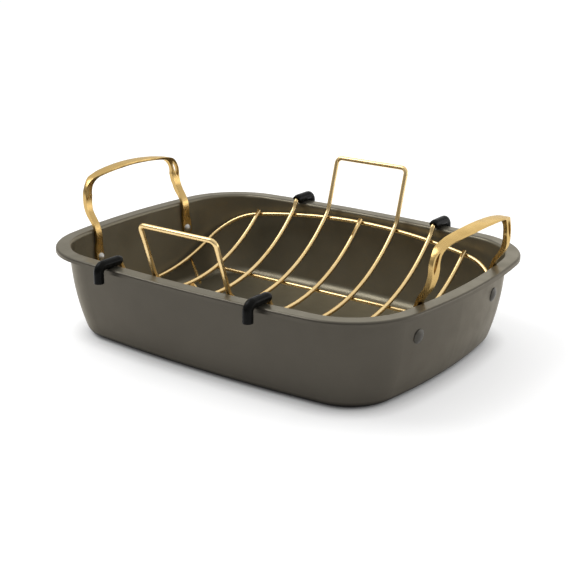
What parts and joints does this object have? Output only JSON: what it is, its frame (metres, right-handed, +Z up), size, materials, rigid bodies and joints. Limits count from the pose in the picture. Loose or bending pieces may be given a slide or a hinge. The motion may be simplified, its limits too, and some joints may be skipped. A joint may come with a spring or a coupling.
{
  "type": "roasting pan with rack",
  "caption": "Rectangular roasting pan with rounded corners, riveted arched end handles and a lift-out U-shaped wire rack hung on the long rims by sleeved hooks.",
  "frame": {"origin": "middle of the pan's flat underside", "axes": "+X along the pan's long side towards one end handle, +Z up, +Y across the pan"},
  "size_m": [0.4162, 0.3328, 0.1433],
  "materials": {
    "coated_pan": "satin",
    "handle_gold": "brushed",
    "wire_gold": "polished",
    "rivet": "satin",
    "black_sleeve": "matte"
  },
  "bodies": {
    "pan": {"roasting_pan": "coated_pan", "left_handle": "handle_gold", "left_handle_rivets": "rivet", "right_handle": "handle_gold", "right_handle_rivets": "rivet"},
    "rack": {"rack_ring": "wire_gold", "rack_handle_wire": "wire_gold", "hook_wire_left": "wire_gold", "hook_wire_right": "wire_gold", "cross_wire_left": "wire_gold", "cross_wire_middle": "wire_gold", "cross_wire_right": "wire_gold", "bottom_rail_front": "wire_gold", "bottom_rail_back": "wire_gold", "left_strut_front": "wire_gold", "left_strut_back": "wire_gold", "right_strut_front": "wire_gold", "right_strut_back": "wire_gold", "hook_sleeve_front_left": "black_sleeve", "hook_sleeve_front_right": "black_sleeve", "hook_sleeve_back_left": "black_sleeve", "hook_sleeve_back_right": "black_sleeve"}
  },
  "joints": [
    {"name": "rack_lift", "type": "slide", "parent": "pan", "child": "rack", "axis": [0, 0, 1], "range_m": [0, 0.15]}
  ]
}
